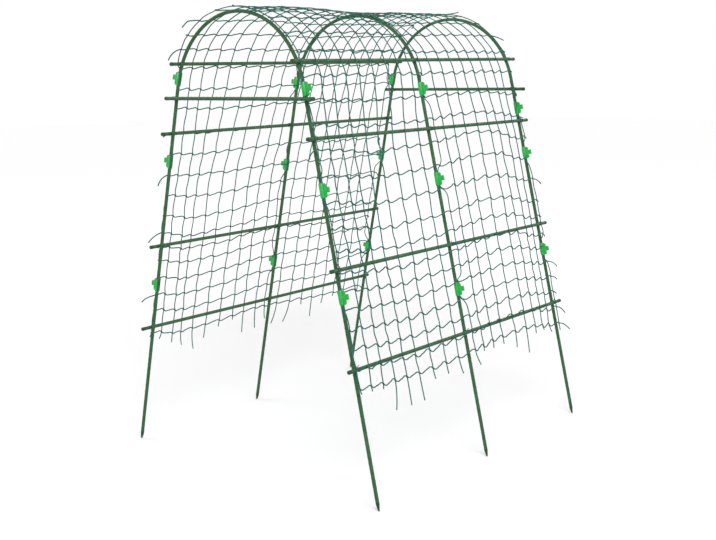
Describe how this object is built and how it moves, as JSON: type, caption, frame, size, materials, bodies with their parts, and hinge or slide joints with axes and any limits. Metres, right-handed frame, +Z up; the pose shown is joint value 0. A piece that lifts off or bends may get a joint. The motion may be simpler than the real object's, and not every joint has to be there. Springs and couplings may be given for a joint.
{
  "type": "garden arch",
  "caption": "Walk-through tunnel arch of coated steel tube hoops, side rails and cross ties, with a climbing net held on by snap clips.",
  "frame": {"origin": "on the ground, in the middle of the arch's footprint", "axes": "+Z up, +Y along the tunnel from the front hoop to the back hoop, +X across it to the right seen from the front"},
  "size_m": [1.507, 1.71, 2.0766],
  "materials": {
    "coated_steel": "dark green plastic coating, satin, with small raised nubs",
    "plug_plastic": "darker green moulded plastic",
    "clip_plastic": "bright green moulded plastic, slightly glossy",
    "net_twine": "matt twisted plastic twine, grey-green"
  },
  "bodies": {
    "root": {"back_arc_tube": "coated_steel", "back_cross_tie": "coated_steel", "back_cross_tie_cap": "plug_plastic", "back_left_clip_1": "clip_plastic", "back_left_clip_2": "clip_plastic", "back_left_clip_3": "clip_plastic", "back_left_foot": "plug_plastic", "back_left_lower_leg": "coated_steel", "back_left_upper_leg": "coated_steel", "back_right_clip_1": "clip_plastic", "back_right_clip_2": "clip_plastic", "back_right_clip_3": "clip_plastic", "back_right_foot": "plug_plastic", "back_right_lower_leg": "coated_steel", "back_right_upper_leg": "coated_steel", "climbing_net": "net_twine", "front_arc_tube": "coated_steel", "front_cross_tie": "coated_steel", "front_cross_tie_cap": "plug_plastic", "front_left_clip_1": "clip_plastic", "front_left_clip_2": "clip_plastic", "front_left_clip_3": "clip_plastic", "front_left_foot": "plug_plastic", "front_left_lower_leg": "coated_steel", "front_left_upper_leg": "coated_steel", "front_right_clip_1": "clip_plastic", "front_right_clip_2": "clip_plastic", "front_right_clip_3": "clip_plastic", "front_right_foot": "plug_plastic", "front_right_lower_leg": "coated_steel", "front_right_upper_leg": "coated_steel", "left_lower_rail_back": "coated_steel", "left_lower_rail_front": "coated_steel", "left_middle_rail_back": "coated_steel", "left_middle_rail_front": "coated_steel", "left_top_rail_back": "coated_steel", "left_top_rail_front": "coated_steel", "left_upper_rail_back": "coated_steel", "left_upper_rail_front": "coated_steel", "middle_arc_tube": "coated_steel", "middle_left_clip_1": "clip_plastic", "middle_left_clip_2": "clip_plastic", "middle_left_clip_3": "clip_plastic", "middle_left_foot": "plug_plastic", "middle_left_lower_leg": "coated_steel", "middle_left_upper_leg": "coated_steel", "middle_right_clip_1": "clip_plastic", "middle_right_clip_2": "clip_plastic", "middle_right_clip_3": "clip_plastic", "middle_right_foot": "plug_plastic", "middle_right_lower_leg": "coated_steel", "middle_right_upper_leg": "coated_steel", "right_lower_rail_back": "coated_steel", "right_lower_rail_front": "coated_steel", "right_middle_rail_back": "coated_steel", "right_middle_rail_front": "coated_steel", "right_top_rail_back": "coated_steel", "right_top_rail_front": "coated_steel", "right_upper_rail_back": "coated_steel", "right_upper_rail_front": "coated_steel"}
  },
  "joints": []
}
